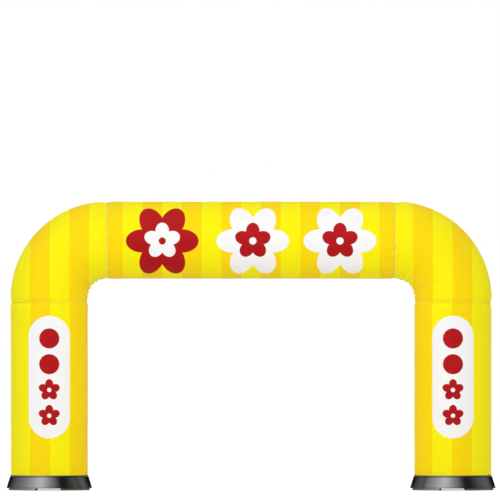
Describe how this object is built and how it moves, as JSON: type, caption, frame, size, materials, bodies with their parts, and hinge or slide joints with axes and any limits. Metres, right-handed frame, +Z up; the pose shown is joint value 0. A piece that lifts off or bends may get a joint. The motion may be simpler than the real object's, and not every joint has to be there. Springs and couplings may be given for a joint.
{
  "type": "inflatable walk-through arch on two round bases",
  "caption": "Free-standing entrance arch: a round striped cloth tube filled with air, bent over at two elbows and held by hoops on round flared black bases with curved feet.",
  "frame": {"origin": "on the floor, midway between the two bases", "axes": "+X from the left base to the right one as seen from the printed front, +Y from the front to the back, +Z up"},
  "size_m": [5.0926, 0.8926, 3.0004],
  "materials": {
    "cloth": "bright yellow woven nylon in two alternating yellow stripes, with printed blossoms and panels",
    "housing": "black moulded plastic, semi-gloss",
    "hoop": "black band, semi-gloss",
    "foot": "black moulded plastic, semi-gloss"
  },
  "bodies": {
    "root": {"beam": "cloth", "elbow_left": "cloth", "elbow_right": "cloth", "leg_left": "cloth", "leg_right": "cloth", "base_left": "housing", "base_right": "housing", "hoop_left": "hoop", "hoop_right": "hoop", "foot_left_back_left": "foot", "foot_left_back_right": "foot", "foot_left_front_left": "foot", "foot_left_front_right": "foot", "foot_right_back_left": "foot", "foot_right_back_right": "foot", "foot_right_front_left": "foot", "foot_right_front_right": "foot"}
  },
  "joints": []
}
